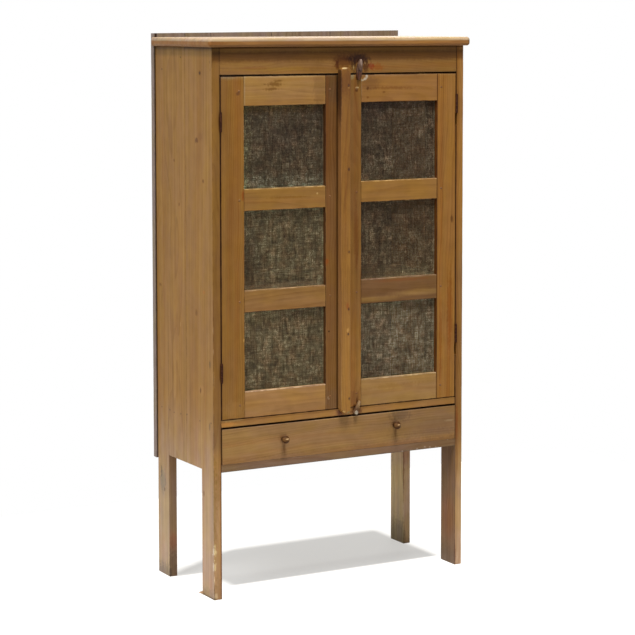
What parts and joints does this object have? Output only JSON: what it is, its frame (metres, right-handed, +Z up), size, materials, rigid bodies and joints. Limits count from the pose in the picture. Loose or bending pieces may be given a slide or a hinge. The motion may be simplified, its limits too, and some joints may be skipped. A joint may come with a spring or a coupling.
{
  "type": "pie safe",
  "caption": "Tall plank cupboard on sawn legs, with framed wire-screen doors, a meeting strip, wooden turn buttons and a full-width drawer below.",
  "frame": {"origin": "on the floor, at the bottom centre of the box that the whole cupboard takes", "axes": "+X to the viewer's right along the front, -Y out of the front, +Z up"},
  "size_m": [0.895, 0.43, 1.666],
  "materials": {
    "finished_pine": "old worn shellac, brown, dry and scuffed",
    "bare_pine": "unfinished old pine, darkened",
    "weathered_plank": "rough sawn, grey-brown, weathered",
    "turned_wood": "hand-rubbed, dark",
    "dark_peg": "dark end grain",
    "wire_screen": "dull, dusty woven wire",
    "rusted_iron": "dark, rusted"
  },
  "bodies": {
    "case": {"back_plank_1": "weathered_plank", "back_plank_2": "weathered_plank", "back_plank_3": "weathered_plank", "back_plank_4": "weathered_plank", "back_plank_5": "weathered_plank", "bottom_button_screw": "rusted_iron", "bottom_rail": "finished_pine", "cupboard_floor": "bare_pine", "header_rail": "finished_pine", "left_case_hinge_leaves": "rusted_iron", "left_drawer_runner": "bare_pine", "left_front_side_plank": "finished_pine", "left_hinge_pins": "rusted_iron", "left_rear_side_plank": "finished_pine", "lower_shelf": "bare_pine", "right_case_hinge_leaves": "rusted_iron", "right_drawer_runner": "bare_pine", "right_front_side_plank": "finished_pine", "right_hinge_pins": "rusted_iron", "right_rear_side_plank": "finished_pine", "shelf_cleats": "bare_pine", "top_board": "finished_pine", "top_button_screw": "rusted_iron", "upper_shelf": "bare_pine"},
    "left_door": {"left_door_bottom_rail": "finished_pine", "left_door_hinge_leaves": "rusted_iron", "left_door_hinge_stile": "finished_pine", "left_door_lower_mid_rail": "finished_pine", "left_door_lower_screen": "wire_screen", "left_door_meeting_stile": "finished_pine", "left_door_middle_screen": "wire_screen", "left_door_pegs": "dark_peg", "left_door_screen_beads": "bare_pine", "left_door_top_rail": "finished_pine", "left_door_upper_mid_rail": "finished_pine", "left_door_upper_screen": "wire_screen"},
    "right_door": {"right_door_bottom_rail": "finished_pine", "right_door_hinge_leaves": "rusted_iron", "right_door_hinge_stile": "finished_pine", "right_door_lower_mid_rail": "finished_pine", "right_door_lower_screen": "wire_screen", "right_door_meeting_stile": "finished_pine", "right_door_middle_screen": "wire_screen", "right_door_pegs": "dark_peg", "right_door_screen_beads": "bare_pine", "right_door_top_rail": "finished_pine", "right_door_upper_mid_rail": "finished_pine", "right_door_upper_screen": "wire_screen", "meeting_strip": "finished_pine"},
    "drawer": {"drawer_back": "bare_pine", "drawer_bottom": "bare_pine", "drawer_front": "finished_pine", "drawer_left_side": "bare_pine", "drawer_right_side": "bare_pine", "left_knob": "turned_wood", "right_knob": "turned_wood"},
    "top_button": {"top_turn_button": "turned_wood"},
    "bottom_button": {"bottom_turn_button": "turned_wood"}
  },
  "joints": [
    {"name": "left_door_hinge", "type": "hinge", "parent": "case", "child": "left_door", "pos_m": [-0.4055, -0.1928, 1.0365], "axis": [0, 0, -1], "range_deg": [0, 165]},
    {"name": "right_door_hinge", "type": "hinge", "parent": "case", "child": "right_door", "pos_m": [0.4055, -0.1928, 1.0365], "axis": [0, 0, 1], "range_deg": [0, 165]},
    {"name": "drawer_slide", "type": "slide", "parent": "case", "child": "drawer", "axis": [0, -1, 0], "range_m": [0, 0.26]},
    {"name": "top_button_turn", "type": "hinge", "parent": "case", "child": "top_button", "pos_m": [0.058, -0.194, 1.5515], "axis": [0, 1, 0], "range_deg": [-98, 81]},
    {"name": "bottom_button_turn", "type": "hinge", "parent": "case", "child": "bottom_button", "pos_m": [0.045, -0.194, 0.5165], "axis": [0, 1, 0], "range_deg": [-44, 65]}
  ]
}
